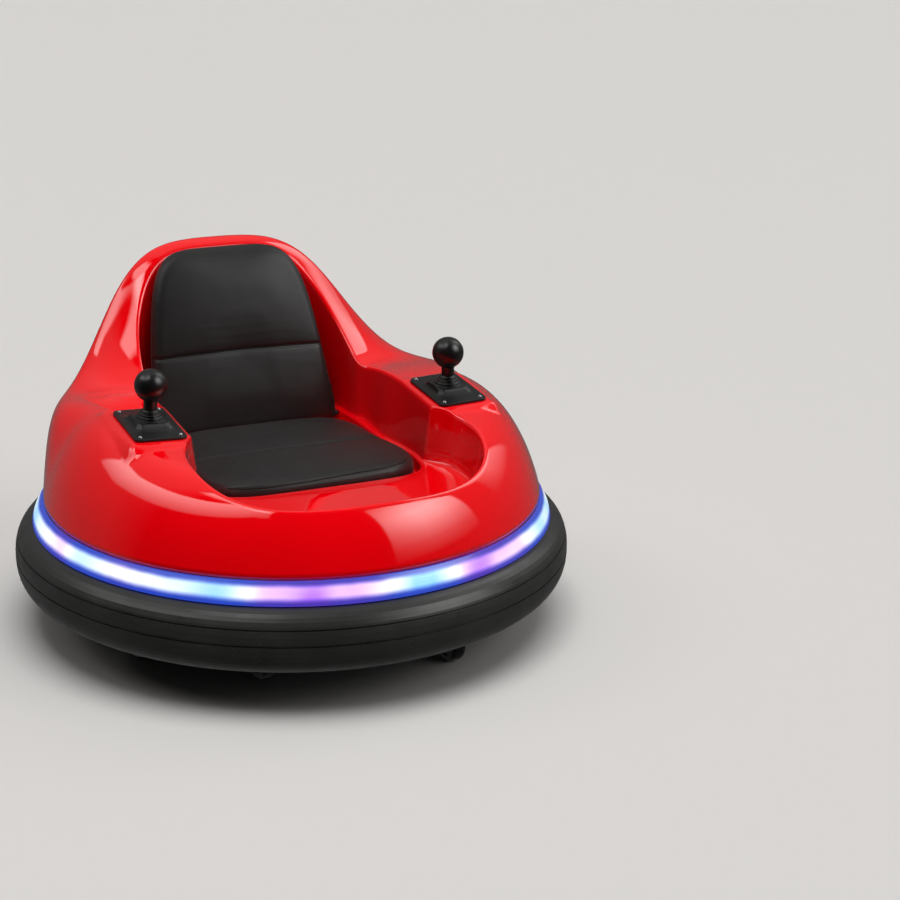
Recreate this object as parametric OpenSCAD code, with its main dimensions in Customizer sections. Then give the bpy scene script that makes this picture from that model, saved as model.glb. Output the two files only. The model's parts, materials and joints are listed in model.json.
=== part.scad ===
// Ride-on bumper car for one child: a round shell with a cockpit and a raised hood behind the
// seat, a rubber bumper ring, a light strip, two joystick consoles, two driven wheels and four
// castors. The origin is on the floor under the centre, +Z is up and the front faces -Y.
// The driver's left hand is on the +X side.

/* [Bumper ring] */
// Outer radius of the bumper ring
bumper_r = 358; // [350:1:366]
// Width of the ring's section, from its inner to its outer face
bumper_w = 88; // [80:1:92]
// Height of the ring's section
bumper_h = 86; // [78:1:90]
// Height of the ring's underside above the floor
bumper_clearance = 53; // [48:1:58]
// Depth of the moulded seams round the ring
seam_depth = 1.6; // [1:0.1:3]
// Width of each seam at the surface
seam_w = 2.2; // [1.5:0.1:4]
// Height of the lower seam above the ring's underside
seam_low = 44; // [38:1:50]
// Height of the upper seam above the ring's underside
seam_high = 63; // [56:1:68]

/* [Shell] */
// Distance that the bumper stands out past the shell
bumper_reach = 38; // [36:1:41]
// Height of the shell's lower edge above the bumper ring
base_rise = 21; // [17:1:25]
// Height of the shell's widest level above its lower edge
wide_rise = 12; // [8:1:18]
// Height at which the rounded front and sides would be upright, if they ran on below the shell
skirt_z = 90; // [84:1:100]
// Height of the armrests
armrest_z = 283; // [276:1:288]
// Height of the shell's top beside the hood
shoulder_z = 270; // [262:1:280]
// Height that the shell's front would have without its rounded edge
nose_z = 262; // [256:1:268]
// Height of the hood
hood_z = 436.5; // [425:0.5:450]
// Distance from the shell's side to the foot of the hood
hood_inset = 23; // [18:1:32]
// Distance behind the centre at which the hood starts to rise
hood_start_y = 140; // [130:1:145]
// Distance over which the hood rises to its full height
hood_rise = 146; // [138:1:150]
// Thickness of the moulded shell
shell_wall = 3.2; // [2.6:0.1:4]
// Size of the rounded edge round the cockpit
rim_round = 6; // [5:0.5:9]

/* [Cockpit] */
// Width of the armrests, from the shell's side to the seat well
armrest_w = 158; // [154:1:164]
// Distance from the shell's side to the leg recess
recess_side_w = 134; // [131:1:140]
// Distance from the shell's front to the leg recess
recess_rim_w = 37.5; // [34:0.5:42]
// Distance from the centre to the middle of the leg recess
recess_mid = 150; // [145:1:156]
// Distance from the shell's back to the cockpit, at the top of the hood
hood_rim_w = 60; // [57:1:63]
// Height of the leg shelf
shelf_z = 206; // [202:1:212]
// Height of the pan that the seat lies in
pan_z = 190; // [182:1:196]
// Distance from the well's side to the pan
pan_side_w = 25; // [22:1:30]
// Distance from the centre to the front edge of the pan
pan_front = 120; // [114:1:126]
// How much wider the pan and the seat are at the front, as a share of their width
pan_flare = 0.08; // [0:0.01:0.09]
// Distance from the back of the cockpit to the back edge of the pan
pan_back_w = 39; // [37:1:44]
// Inward lean of the cockpit's side walls, as run over fall
wall_lean = 0.22; // [0.16:0.01:0.26]
// Inward lean of the wall behind the seat
back_wall_lean = 0.04; // [0.02:0.01:0.1]

/* [Seat] */
// Height of the seat cushion's front above the pan
seat_front_h = 32; // [28:1:38]
// Height of the seat cushion's back above the pan
seat_back_h = 19; // [15:1:25]
// Extra height of the seat cushion at its middle
seat_crown = 3; // [2:0.5:8]
// Gap between a cushion and what stands round it
cushion_gap = 2.5; // [2:0.5:5]
// Gap at each side between the back cushion and the pan's edge
back_side_gap = 6; // [4:0.5:10]
// Height of the hood above the back cushion's top
back_drop = 6.5; // [5:0.5:12]
// Depth of the back cushion at the pan
back_depth = 55; // [51:1:60]
// Lean of the back cushion's face at the pan, in degrees
back_lean = 13; // [12:0.2:14]
// How much further back the face bows than that lean takes it, at the top
back_bow = 26; // [22:1:28]

/* [Joysticks] */
// Distance from each joystick to the shell's side
stick_inset = 118; // [114:1:122]
// Distance of the joysticks ahead of the centre
stick_y = 37; // [30:1:44]
// Width of each console plate
plate_w = 66; // [60:1:70]
// Length of each console plate
plate_l = 104; // [96:1:110]
// Thickness of each console plate
plate_t = 3.5; // [2.5:0.1:4.5]
// Radius of the plate's corners
plate_corner = 8; // [5:0.5:12]
// Slope of the plates down towards the front, in degrees
plate_pitch = 4.2; // [3:0.1:5]
// Slope of the plates down towards the cockpit, in degrees
plate_roll = 2.5; // [1.5:0.1:3.5]
// Width of the raised square base on each plate
base_w = 46; // [42:1:52]
// Height of the raised base
base_h = 7; // [5:0.5:10]
// Radius of the foot of the rubber boot
boot_r = 20; // [18:0.5:22]
// Height of the rubber boot
boot_h = 16; // [13:0.5:20]
// Number of folds in the boot
boot_folds = 4; // [3:1:6]
// Radius of the lever's sleeve
sleeve_r = 7.5; // [6:0.5:9]
// Height of the middle of the knob above the plate
knob_h = 53; // [50:1:58]
// Diameter of the ball knob
knob_d = 41; // [36:1:46]

/* [Light strip] */
// Height of the light strip
strip_h = 26; // [22:1:28]
// Distance that the strip's lower edge stands out past the shell
strip_out = 15; // [12:1:17]
// Distance that the strip's upper edge stands out past the shell
strip_lap = 2.7; // [2.7:0.1:4]
// Thickness of the strip's lens
strip_t = 3; // [2.5:0.5:4]

/* [Chassis] */
// Height of the chassis floor's underside
chassis_z = 84; // [82:1:90]
// Thickness of the chassis walls
chassis_t = 4; // [3:0.5:5]
// Depth of the ribs under the chassis
rib_h = 8; // [5:1:12]
// Gap between fixed curved faces
seat_gap = 0.3; // [0.2:0.05:0.5]
// Length, width and height of the battery
battery_size = [151, 94, 65];
// Distance of the battery behind the centre
battery_y = 70; // [40:5:100]

/* [Driven wheels] */
// Radius of the driven wheels
drive_r = 40; // [36:1:41]
// Width of the driven wheels
drive_w = 28; // [24:1:30]
// Thickness of their tyres
tyre_t = 8; // [6:0.5:11]
// Distance from each driven wheel's outer face to the bumper ring's inner side
drive_inset = 24; // [22:1:30]
// Distance of the driven wheels' axles ahead of the centre
drive_y = 72; // [60:1:75]
// Diameter of the driven wheels' axles
axle_d = 10; // [8:0.5:12]
// Running gap between a driven wheel and its gearbox
drive_gap = 6; // [5:0.5:8]
// Width of each gearbox
gearbox_w = 36; // [30:1:40]
// Diameter of each motor
motor_d = 36; // [30:1:42]
// Length of each motor
motor_l = 58; // [45:1:64]

/* [Castors] */
// Distance from each castor's pivot to the bumper ring's inner side
castor_inset = 25; // [24:1:30]
// Direction of each castor's pivot from the centre, from the front or back, in degrees
castor_angle = 28; // [24:1:32]
// Radius of the castor wheels
castor_r = 25; // [22:1:26]
// Width of the castor wheels
castor_w = 18; // [15:1:20]
// Distance from a castor's pivot to its axle, seen from above
castor_trail = 22; // [18:1:24]
// Width of the square mounting plate of each castor
castor_plate_w = 46; // [40:1:50]
// Height of a castor's mounting face above the floor
castor_h = 70; // [66:1:74]
// Diameter of a castor's axle
castor_axle_d = 6; // [5:0.5:8]
// Diameter of a castor's kingpin
kingpin_d = 8; // [6:0.5:10]

/* [Hidden] */

$fn = 96;
// Gap round a shaft in its bore
bore_gap = 0.05;
// Side of the car: name, sign along X
sides = [["left", 1], ["right", -1]];
// Castors: name, side along X, end along Y, direction of the wheel from its pivot at rest
castors = [
    ["front_left", 1, -1, -88],
    ["front_right", -1, -1, 98],
    ["rear_left", 1, 1, -62],
    ["rear_right", -1, 1, -124]
];

bumper_in_r = bumper_r - bumper_w;
bumper_mid_r = bumper_r - bumper_w / 2;
bumper_mid_z = bumper_clearance + bumper_h / 2;
// Outer radius of the chassis wall, inside the bumper ring
chassis_r = bumper_in_r - seat_gap;
// Height of the flange that lies over the bumper ring
flange_z = bumper_clearance + bumper_h + seat_gap;
shell_base_z = bumper_clearance + bumper_h + base_rise;
shell_wide_z = shell_base_z + wide_rise;
// Greatest radius of the shell, and the sizes that follow from it
shell_r = bumper_r - bumper_reach;
hood_foot_w = shell_r - hood_inset;
hood_full_y = hood_start_y + hood_rise;
well_w = shell_r - armrest_w;
recess_w = shell_r - recess_side_w;
recess_front = shell_r - recess_rim_w;
opening_back = shell_r - hood_rim_w;
pan_w = well_w - pan_side_w;
pan_back = opening_back - pan_back_w;
back_w = pan_w - back_side_gap;
back_h = hood_z - back_drop - pan_z;
back_foot_y = pan_back - back_depth;
stick_x = shell_r - stick_inset;
drive_face_x = bumper_in_r - drive_inset;
drive_x = drive_face_x - drive_w / 2;
castor_x = (bumper_in_r - castor_inset) * sin(castor_angle);
castor_y = (bumper_in_r - castor_inset) * cos(castor_angle);
gearbox_face_x = drive_face_x - drive_w - drive_gap;

function clamp(v, low, high) = min(max(v, low), high);
function mix(a, b, t) = a + (b - a) * t;
function ease(t) = let(c = clamp(t, 0, 1)) c * c * (3 - 2 * c);
function soft_max(a, b, k) =
    let(h = clamp(0.5 + (a - b) / (2 * k), 0, 1)) mix(b, a, h) + k * h * (1 - h);
// Height over width of a superellipse at distance s from its middle, both as shares
function bulge(s, n) = pow(max(1 - pow(clamp(s, 0, 1), n), 0), 1 / n);
// Point of a superellipse at angle a
function super_point(a, w, h, n) = [
    w * sign(cos(a)) * pow(abs(cos(a)), 2 / n),
    h * sign(sin(a)) * pow(abs(sin(a)), 2 / n)
];
// Size of a superellipse seen from the centre of the car, in direction phi from the front
function in_super(p, mid, w, h, n) = pow(abs(p.x) / w, n) + pow(abs(p.y - mid) / h, n) < 1;
function heading(phi) = [sin(phi), -cos(phi)];
function reach(phi, mid, w, h, n, low, high, steps = 22) =
    steps == 0 ? (low + high) / 2 :
    let(r = (low + high) / 2)
    in_super(heading(phi) * r, mid, w, h, n)
        ? reach(phi, mid, w, h, n, r, high, steps - 1)
        : reach(phi, mid, w, h, n, low, r, steps - 1);

// Plan of the cockpit, as radius in direction phi from the front
recess_l = recess_front - recess_mid;
recess_probe = 150;
recess_n = 2.2;
hood_well_w = well_w - 10.5;
hood_mid_y = 96;
well_mid_y = 10;
well_l = 150;
function recess_reach(phi) =
    in_super(heading(phi) * recess_probe, -recess_mid, recess_w, recess_l, recess_n)
        ? reach(phi, -recess_mid, recess_w, recess_l, recess_n, recess_probe, shell_r) : 0;
function well_reach(phi) = reach(phi, well_mid_y, well_w, well_l, 6, 0, shell_r);
function hood_reach(phi) =
    reach(phi, hood_mid_y, hood_well_w, opening_back - hood_mid_y, 3.2, 0, shell_r);
function opening_r(phi) =
    soft_max(soft_max(recess_reach(phi), well_reach(phi), 6), hood_reach(phi), 8);
pan_mid_y = (pan_back - pan_front) / 2;
pan_l = (pan_back + pan_front) / 2;
flare_y = 60;
flare_l = 110;
function flare(y) = 1 + pan_flare * ease((flare_y - y) / flare_l);
function pan_r(phi, low = 0, high = shell_r, steps = 22) =
    steps == 0 ? (low + high) / 2 :
    let(r = (low + high) / 2, p = heading(phi) * r)
    in_super([p.x / flare(p.y), p.y], pan_mid_y, pan_w, pan_l, 6)
        ? pan_r(phi, r, high, steps - 1)
        : pan_r(phi, low, r, steps - 1);

// Plane that a console plate lies on
stick_z = armrest_z + 1;
function pad_z(x, y) =
    stick_z + (abs(x) - stick_x) * tan(plate_roll)
    + (y + stick_y) * tan(plate_pitch) / cos(plate_roll);
// How far the shell is flattened to that plane, from 0 to 1
pad_margin = 3;
pad_fade = 16;
function pad_share(x, y) =
    ease((plate_w / 2 + pad_margin + pad_fade - abs(abs(x) - stick_x)) / pad_fade)
    * ease((plate_l / 2 + pad_margin + pad_fade - abs(y + stick_y)) / pad_fade);

// Outer face of the shell: a dome with a level top, which rises into the hood behind the seat.
// Along each radius its edge is a superellipse: a wide round one at the front and sides, and a
// tight upright one round the back and the hood.
nose_y = [-260, -40];
rear_y = [38, 225];
// Width of the round edge at the front and sides, at the back, and at the hood
crown_w = [81, 30, 28];
edge_n = [2, 5.5, 6];
rise_round = 0.15;
// Shape of the hood's arch, seen from the front
arch_n = [4, 4.25];
// The armrests slope as the console plates do, up to a little behind them
arm_slope_l = 40;
arm_slope_round = 25;
function arm_z(y) =
    armrest_z - tan(plate_pitch) * soft_max(-y - stick_y, -arm_slope_l, arm_slope_round);
function between(y, span) = ease((y - span[0]) / (span[1] - span[0]));
function soft_step(t) = soft_max(-soft_max(-t, -1, rise_round), 0, rise_round);
function hood_share(x, y) = clamp(
    pow(1 - pow(clamp(abs(x) / hood_foot_w, 0, 1), arch_n[0]), arch_n[1])
    * soft_step((y - hood_start_y) / hood_rise), 0, 1);
function dome_z(x, y) =
    let(
        hood = hood_share(x, y),
        rear = between(y, rear_y),
        level = mix(mix(nose_z, arm_z(y), between(y, nose_y)), shoulder_z, rear),
        top = mix(level, hood_z, hood),
        n = mix(mix(edge_n[0], edge_n[1], rear), edge_n[2], hood),
        low = mix(skirt_z, shell_wide_z, rear),
        inner = shell_r - mix(mix(crown_w[0], crown_w[1], rear), crown_w[2], hood),
        share = pow(1 - pow((shell_wide_z - low) / (top - low), n), 1 / n),
        outer = inner + (shell_r - inner) / share
    )
    low + (top - low) * bulge((norm([x, y]) - inner) / (outer - inner), n);
function shell_z(x, y) = mix(dome_z(x, y), pad_z(x, y), pad_share(x, y));
function shell_z_at(phi, r) = let(p = heading(phi) * r) shell_z(p.x, p.y);

// Section of the shell in direction phi, as [radius, height] from its lower edge over the rim
// of the cockpit and down to the pan. Points lie closer together where the section bends.
outer_steps = 14;
fine_steps = 48;
bend_pull = 0.12;
// Lean of the wall: full at the sides, and less behind the seat
function lean_at(phi) =
    let(away = abs(phi > 180 ? phi - 360 : phi))
    mix(wall_lean, back_wall_lean, ease((away - 110) / 40));
function turn(pts, i) =
    i == 0 ? 0 :
    let(a = pts[i] - pts[i - 1], b = pts[i + 1] - pts[i])
    acos(clamp(a * b / max(norm(a) * norm(b), 1e-9), -1, 1));
function path_lengths(pts, i = 0, sum = 0) =
    i == len(pts) - 1 ? [sum]
    : concat([sum], path_lengths(
        pts, i + 1, sum + norm(pts[i + 1] - pts[i]) + bend_pull * turn(pts, i)));
function resample(pts, count) =
    let(
        far = path_lengths(pts),
        rs = [for (i = [0 : len(pts) - 1]) [far[i], pts[i].x]],
        zs = [for (i = [0 : len(pts) - 1]) [far[i], pts[i].y]],
        total = far[len(far) - 1]
    )
    [for (i = [0 : count - 1]) let(s = total * i / (count - 1)) [lookup(s, rs), lookup(s, zs)]];
function outer_path(phi, r_in) = [
    for (i = [0 : fine_steps])
        let(r = mix(r_in, shell_r, sin(90 * (1 - i / fine_steps))))
        [r, shell_z_at(phi, r)]
];
function bend(a, corner, b, t) = mix(mix(a, corner, t), mix(corner, b, t), t);
wall_round = 12;
lip_round = 5;
function section(phi) =
    let(
        r_open = opening_r(phi),
        crest = [r_open, shell_z_at(phi, r_open)],
        r_in = r_open + rim_round,
        rim_out = [r_in, shell_z_at(phi, r_in)],
        lean = lean_at(phi),
        wall_top = crest + [-lean, -1] * rim_round,
        r_lip = pan_r(phi) + lip_round,
        fall = crest.y - shelf_z,
        corner = [max(r_lip + 2, r_open - lean * fall), shelf_z],
        up = wall_top - corner,
        wall_foot = corner + up * min(wall_round / norm(up), 0.4),
        shelf_start = [mix(corner.x, r_lip, min(wall_round / (corner.x - r_lip), 0.4)), shelf_z],
        outer = resample(outer_path(phi, r_in), outer_steps)
    )
    concat(
        [[shell_r - 1, shell_base_z]],
        outer,
        [for (t = [0.35, 0.7]) bend(rim_out, crest, wall_top, t)],
        [wall_top, mix(wall_top, wall_foot, 0.5), wall_foot],
        [bend(wall_foot, corner, shelf_start, 0.5)],
        [shelf_start, [r_lip, shelf_z], [r_lip - lip_round * 0.7, shelf_z - lip_round * 0.4]],
        [[r_lip - lip_round, shelf_z - lip_round], [r_lip - lip_round - 1, pan_z + 3]],
        [[r_lip - lip_round - 5, pan_z]]
    );
// The same section moved inwards by the shell's thickness
function inset_path(path, d) = [
    for (i = [0 : len(path) - 1])
        let(
            a = path[max(i - 1, 0)],
            b = path[min(i + 1, len(path) - 1)],
            way = (b - a) / norm(b - a)
        )
        i == 0 ? path[0] - [d, 0]
        : i == len(path) - 1 ? path[i] - [0, d]
        : path[i] + [-way.y, way.x] * d
];

// Closed solid through rings of equally many points, with a middle point at each end
function ring_faces(count, rings) = concat(
    [for (j = [0 : rings - 2], i = [0 : count - 1])
        let(k = (i + 1) % count) [j * count + i, j * count + k, (j + 1) * count + k]],
    [for (j = [0 : rings - 2], i = [0 : count - 1])
        let(k = (i + 1) % count) [j * count + i, (j + 1) * count + k, (j + 1) * count + i]],
    [for (i = [0 : count - 1]) [count * rings, (i + 1) % count, i]],
    [for (i = [0 : count - 1])
        let(base = count * (rings - 1)) [count * rings + 1, base + i, base + (i + 1) % count]]
);
module ring_solid(rings, first, last) {
    polyhedron(
        points = concat([for (ring = rings) each ring], [first, last]),
        faces = ring_faces(len(rings[0]), len(rings))
    );
}

shell_stations = 108;
module body_shell() {
    sections = [for (i = [0 : shell_stations - 1]) section(360 * i / shell_stations)];
    depth = len(sections[0]);
    insides = [for (s = sections) inset_path(s, shell_wall)];
    function around(paths, j) = [
        for (i = [0 : shell_stations - 1])
            let(p = paths[i][j], way = heading(360 * i / shell_stations))
            [way.x * p.x, way.y * p.x, p.y]
    ];
    color("red")
        ring_solid(
            concat(
                [for (j = [depth - 1 : -1 : 0]) around(sections, j)],
                [for (j = [0 : depth - 1]) around(insides, j)]
            ),
            [0, pan_mid_y, pan_z],
            [0, pan_mid_y, pan_z - shell_wall]
        );
}

ring_points = 44;
module bumper_ring() {
    color([0.09, 0.09, 0.09])
        rotate_extrude($fn = 180)
            translate([bumper_mid_r, bumper_mid_z])
                difference() {
                    polygon([
                        for (i = [0 : ring_points - 1])
                            super_point(360 * (i + 0.5) / ring_points, bumper_w / 2, bumper_h / 2, 2.5)
                    ]);
                    for (seam = [seam_low, seam_high])
                        let(
                            h = seam - bumper_h / 2,
                            face = bumper_w / 2 * bulge(abs(h) / (bumper_h / 2), 2.5)
                        )
                        translate([face - seam_depth, h - seam_w / 2])
                            square([seam_depth * 4, seam_w]);
                }
}

// Section of the light strip: a bowed lens between the shell and the bumper
strip_top_z = shell_base_z + 4;
module light_strip() {
    top = [shell_r + strip_lap, strip_top_z];
    foot = [shell_r + strip_out, strip_top_z - strip_h];
    belly = (top + foot) / 2 + [3.5, 1];
    back = [-strip_t, 0];
    color([0.75, 0.85, 1])
        rotate_extrude($fn = 180)
            polygon(concat(
                [for (i = [0 : 8]) bend(foot, belly, top, i / 8)],
                [for (i = [8 : -1 : 0]) bend(foot + back, belly + back, top + back, i / 8)]
            ));
}

// Moulded tray: floor, wall inside the bumper ring, flange over it and the step that carries the
// shell and the light strip
step_r = shell_r - 2;
step_w = 12;
rib_angles = [0, 40, 98, 120, 180, 240, 262, 320];
rib_hub_r = 62;
module chassis() {
    color([0.12, 0.12, 0.12]) {
        rotate_extrude($fn = 180)
            polygon([
                [0, chassis_z], [chassis_r, chassis_z], [chassis_r, flange_z],
                [shell_r + strip_out - strip_t - 4, flange_z],
                [shell_r + strip_out - strip_t - 4, flange_z + chassis_t],
                [step_r, flange_z + chassis_t], [step_r, shell_base_z - seat_gap],
                [step_r - step_w, shell_base_z - seat_gap],
                [step_r - step_w, flange_z + chassis_t],
                [chassis_r - chassis_t, flange_z + chassis_t],
                [chassis_r - chassis_t, chassis_z + chassis_t], [0, chassis_z + chassis_t]
            ]);
        for (c = castors)
            translate([c[1] * castor_x, c[2] * castor_y, castor_h])
                cylinder(r = castor_plate_w / 2, h = chassis_z - castor_h + 1);
        translate([0, 0, chassis_z - rib_h])
            difference() {
                cylinder(r = rib_hub_r, h = rib_h + 1);
                translate([0, 0, -1])
                    cylinder(r = rib_hub_r - chassis_t, h = rib_h + 1);
            }
        for (a = rib_angles)
            rotate([0, 0, a - 90])
                translate([rib_hub_r - 2, -chassis_t / 2, chassis_z - rib_h])
                    cube([chassis_r - rib_hub_r - chassis_t, chassis_t, rib_h + 1]);
    }
}

module battery() {
    color([0.2, 0.2, 0.22])
        translate([-battery_size.x / 2, battery_y - battery_size.y / 2, chassis_z + chassis_t])
            cube(battery_size);
}

// Seat cushion: rings of the pan's outline, each with its inset and its height above the pan
seat_rings = [
    // inset, share of the height
    [8, 0], [1, 0.2], [0, 0.45], [1, 0.72], [5, 0.9], [13, 1]
];
seat_points = 56;
seat_back_y = back_foot_y - cushion_gap;
seat_mid_y = (seat_back_y - pan_front) / 2;
seat_l = (seat_back_y + pan_front) / 2 - cushion_gap;
function seat_h(y) = mix(seat_front_h, seat_back_h, (y + pan_front) / (seat_back_y + pan_front));
module seat_cushion() {
    foot = pan_z + seat_gap;
    color([0.1, 0.1, 0.1])
        ring_solid(
            [for (ring = seat_rings) [
                for (i = [0 : seat_points - 1])
                    let(
                        p = super_point(
                            -360 * (i + 0.5) / seat_points,
                            pan_w - cushion_gap - ring[0], seat_l - ring[0], 5
                        ),
                        y = seat_mid_y + p.y
                    )
                    [p.x * flare(y), y, foot + seat_h(y) * ring[1]]
            ]],
            [0, seat_mid_y, foot],
            [0, seat_mid_y, foot + seat_h(seat_mid_y) + seat_crown]
        );
}

// Back cushion: an arch whose back follows the cockpit's wall and whose face leans back
back_rings = [
    // inset, depth as share of the thickness
    [5, 1], [1, 0.85], [0, 0.6], [2, 0.35], [7, 0.12], [18, 0], [50, -0.1], [90, -0.16]
];
back_points = 40;
// Least thickness of the back cushion, at its edge
back_edge = 8;
back_corner = 10;
wall_foot_z = shelf_z - 6;
function back_face_y(z) =
    let(t = (z - pan_z) / back_h)
    back_foot_y + back_h * t * tan(back_lean) + back_bow * t * t;
// Radius of the cockpit's wall in direction phi at height z
function wall_r(phi, z) =
    let(r = opening_r(phi), crest_z = shell_z_at(phi, r))
    mix(
        pan_r(phi), r - lean_at(phi) * rim_round,
        clamp((z - wall_foot_z) / (crest_z - rim_round - wall_foot_z), 0, 1)
    );
function wall_y(x, z, y, steps = 5) =
    steps == 0 ? y :
    let(r = wall_r(atan2(x, -y), z) - cushion_gap - 0.5)
    wall_y(x, z, sqrt(max(r * r - x * x, 1)), steps - 1);
function back_arch(inset) =
    let(low = back_corner + inset * 0.6, high = back_h - inset - low)
    [
        for (i = [0 : back_points])
            let(p = super_point(180 - 180 * i / back_points, back_w - inset, high, 3.2))
            [p.x, pan_z + low + p.y],
        for (x = [0.85 : -0.425 : -0.85]) [x * (back_w - inset), pan_z + low - back_corner + seat_gap]
    ];
module back_cushion() {
    function place(p, depth) =
        let(back = wall_y(p.x, p.y, pan_back), front = min(back_face_y(p.y), back - back_edge))
        [p.x, mix(front, back, depth), p.y];
    mid_z = pan_z + back_h * 0.45;
    color([0.1, 0.1, 0.1])
        ring_solid(
            [for (ring = back_rings) [for (p = back_arch(ring[0])) place(p, ring[1])]],
            place([0, mid_z], 1),
            place([0, mid_z], -0.18)
        );
}

// Frame of a console plate: its origin is on the shell under the joystick, +Z out of the plate
module on_pad(side) {
    translate([side * stick_x, -stick_y, stick_z + seat_gap])
        rotate([plate_pitch, -side * plate_roll, 0])
            children();
}

module rounded_slab(w, l, h, r) {
    linear_extrude(h)
        hull()
            for (x = [-1, 1], y = [-1, 1])
                translate([x * (w / 2 - r), y * (l / 2 - r)])
                    circle(r, $fn = 32);
}

module joystick_plate(side) {
    color([0.08, 0.08, 0.08])
        on_pad(side) {
            rounded_slab(plate_w, plate_l, plate_t, plate_corner);
            rounded_slab(base_w, base_w, plate_t + base_h * 0.55, plate_corner);
            rounded_slab(base_w - 8, base_w - 8, plate_t + base_h, plate_corner);
        }
}

// Rubber boot: folds that get narrower from its foot to the lever
boot_top_r = sleeve_r + 2.5;
module joystick_boot(side) {
    fold = boot_h / boot_folds;
    color([0.06, 0.06, 0.06])
        on_pad(side)
            translate([0, 0, plate_t + base_h])
                rotate_extrude($fn = 72)
                    polygon(concat(
                        [[0, 0]],
                        [for (i = [0 : boot_folds - 1])
                            let(r = mix(boot_r, boot_top_r, i / (boot_folds - 1)))
                            each [
                                [r, i * fold], [r, (i + 0.55) * fold],
                                [r - 2, (i + 0.8) * fold], [r - 2.6, (i + 1) * fold]
                            ]],
                        [[0, boot_h]]
                    ));
}

module joystick_lever(side) {
    foot = plate_t + base_h + boot_h;
    color([0.1, 0.1, 0.1])
        on_pad(side)
            translate([0, 0, foot])
                cylinder(r1 = sleeve_r, r2 = sleeve_r - 0.8, h = knob_h - foot - knob_d * 0.44);
}

module joystick_knob(side) {
    foot = knob_h - knob_d * 0.44;
    color([0.05, 0.05, 0.05])
        on_pad(side)
            intersection() {
                translate([0, 0, knob_h])
                    sphere(d = knob_d);
                translate([-knob_d, -knob_d, foot])
                    cube([2 * knob_d, 2 * knob_d, knob_d]);
            }
}

// Driven wheels: each turns about an axle along X
module on_drive_axle(side) {
    translate([side * drive_x, -drive_y, drive_r])
        rotate([0, side * 90, 0])
            children();
}

module drive_tyre(side) {
    inner = drive_r - tyre_t;
    color([0.07, 0.07, 0.07])
        on_drive_axle(side)
            rotate_extrude($fn = 120)
                polygon([
                    [inner + seat_gap, -drive_w / 2 + 1], [drive_r - 3, -drive_w / 2],
                    [drive_r, -drive_w / 2 + 4], [drive_r, drive_w / 2 - 4],
                    [drive_r - 3, drive_w / 2], [inner + seat_gap, drive_w / 2 - 1]
                ]);
}

// Hub: rim, web with ribs and a boss with the axle's bore
hub_ribs = 5;
module drive_hub(side) {
    inner = drive_r - tyre_t;
    color([0.72, 0.72, 0.72])
        on_drive_axle(side)
            difference() {
                union() {
                    rotate_extrude($fn = 120)
                        polygon([
                            [0, -drive_w / 2 + 2], [10, -drive_w / 2 + 2], [10, -3],
                            [inner - 4, -3], [inner - 4, -drive_w / 2 + 1],
                            [inner, -drive_w / 2 + 1], [inner, drive_w / 2 - 1],
                            [inner - 4, drive_w / 2 - 1], [inner - 4, 3], [12, 3],
                            [10, drive_w / 2 - 3], [0, drive_w / 2 - 3]
                        ]);
                    for (i = [0 : hub_ribs - 1])
                        rotate([0, 0, 360 * i / hub_ribs])
                            translate([9, -2, 0])
                                cube([inner - 11, 4, drive_w / 2 - 5]);
                }
                translate([0, 0, -drive_w])
                    cylinder(d = axle_d + 2 * bore_gap, h = 2 * drive_w);
            }
}

axle_reach = 30;
module drive_axle(side) {
    color("silver")
        on_drive_axle(side) {
            translate([0, 0, -drive_w / 2 - drive_gap - axle_reach])
                cylinder(d = axle_d, h = drive_w + drive_gap + axle_reach - 1);
            translate([0, 0, drive_w / 2 - 3])
                cylinder(d = axle_d + 6, h = 3);
        }
}

// Gearbox with its motor, hung under the chassis floor
gearbox_front = 18;
gearbox_rear = 58;
gearbox_nose_r = 22;
gearbox_heel_r = 16;
gearbox_heel_z = -6;
gearbox_corner = 9;
motor_rise = 12;
module gear_motor(side) {
    motor_y = gearbox_rear - motor_d / 2;
    color([0.25, 0.25, 0.27])
        difference() {
            union() {
                translate([
                    side > 0 ? gearbox_face_x - gearbox_w : -gearbox_face_x,
                    -drive_y, drive_r
                ])
                    rotate([90, 0, 90])
                        linear_extrude(gearbox_w)
                            hull() {
                                circle(gearbox_nose_r, $fn = 48);
                                for (y = [gearbox_corner - gearbox_front, gearbox_rear - gearbox_corner])
                                    translate([y, chassis_z - drive_r - gearbox_corner])
                                        circle(gearbox_corner, $fn = 24);
                                translate([gearbox_rear - gearbox_heel_r, gearbox_heel_z])
                                    circle(gearbox_heel_r, $fn = 32);
                            }
                translate([side * (gearbox_face_x - gearbox_w + 1), -drive_y + motor_y, drive_r + motor_rise])
                    rotate([0, -side * 90, 0])
                        cylinder(d = motor_d, h = motor_l);
            }
            translate([side * (gearbox_face_x + 1), -drive_y, drive_r])
                rotate([0, -side * 90, 0])
                    cylinder(d = axle_d + 2 * bore_gap, h = axle_reach + 2);
            translate([-bumper_r, -bumper_r, chassis_z])
                cube([2 * bumper_r, 2 * bumper_r, drive_r]);
        }
}

// Castors: plate and kingpin are fixed, the fork swivels on the kingpin, the wheel turns on the
// fork's axle
module on_pivot(c) {
    translate([c[1] * castor_x, c[2] * castor_y, 0])
        children();
}

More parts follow.
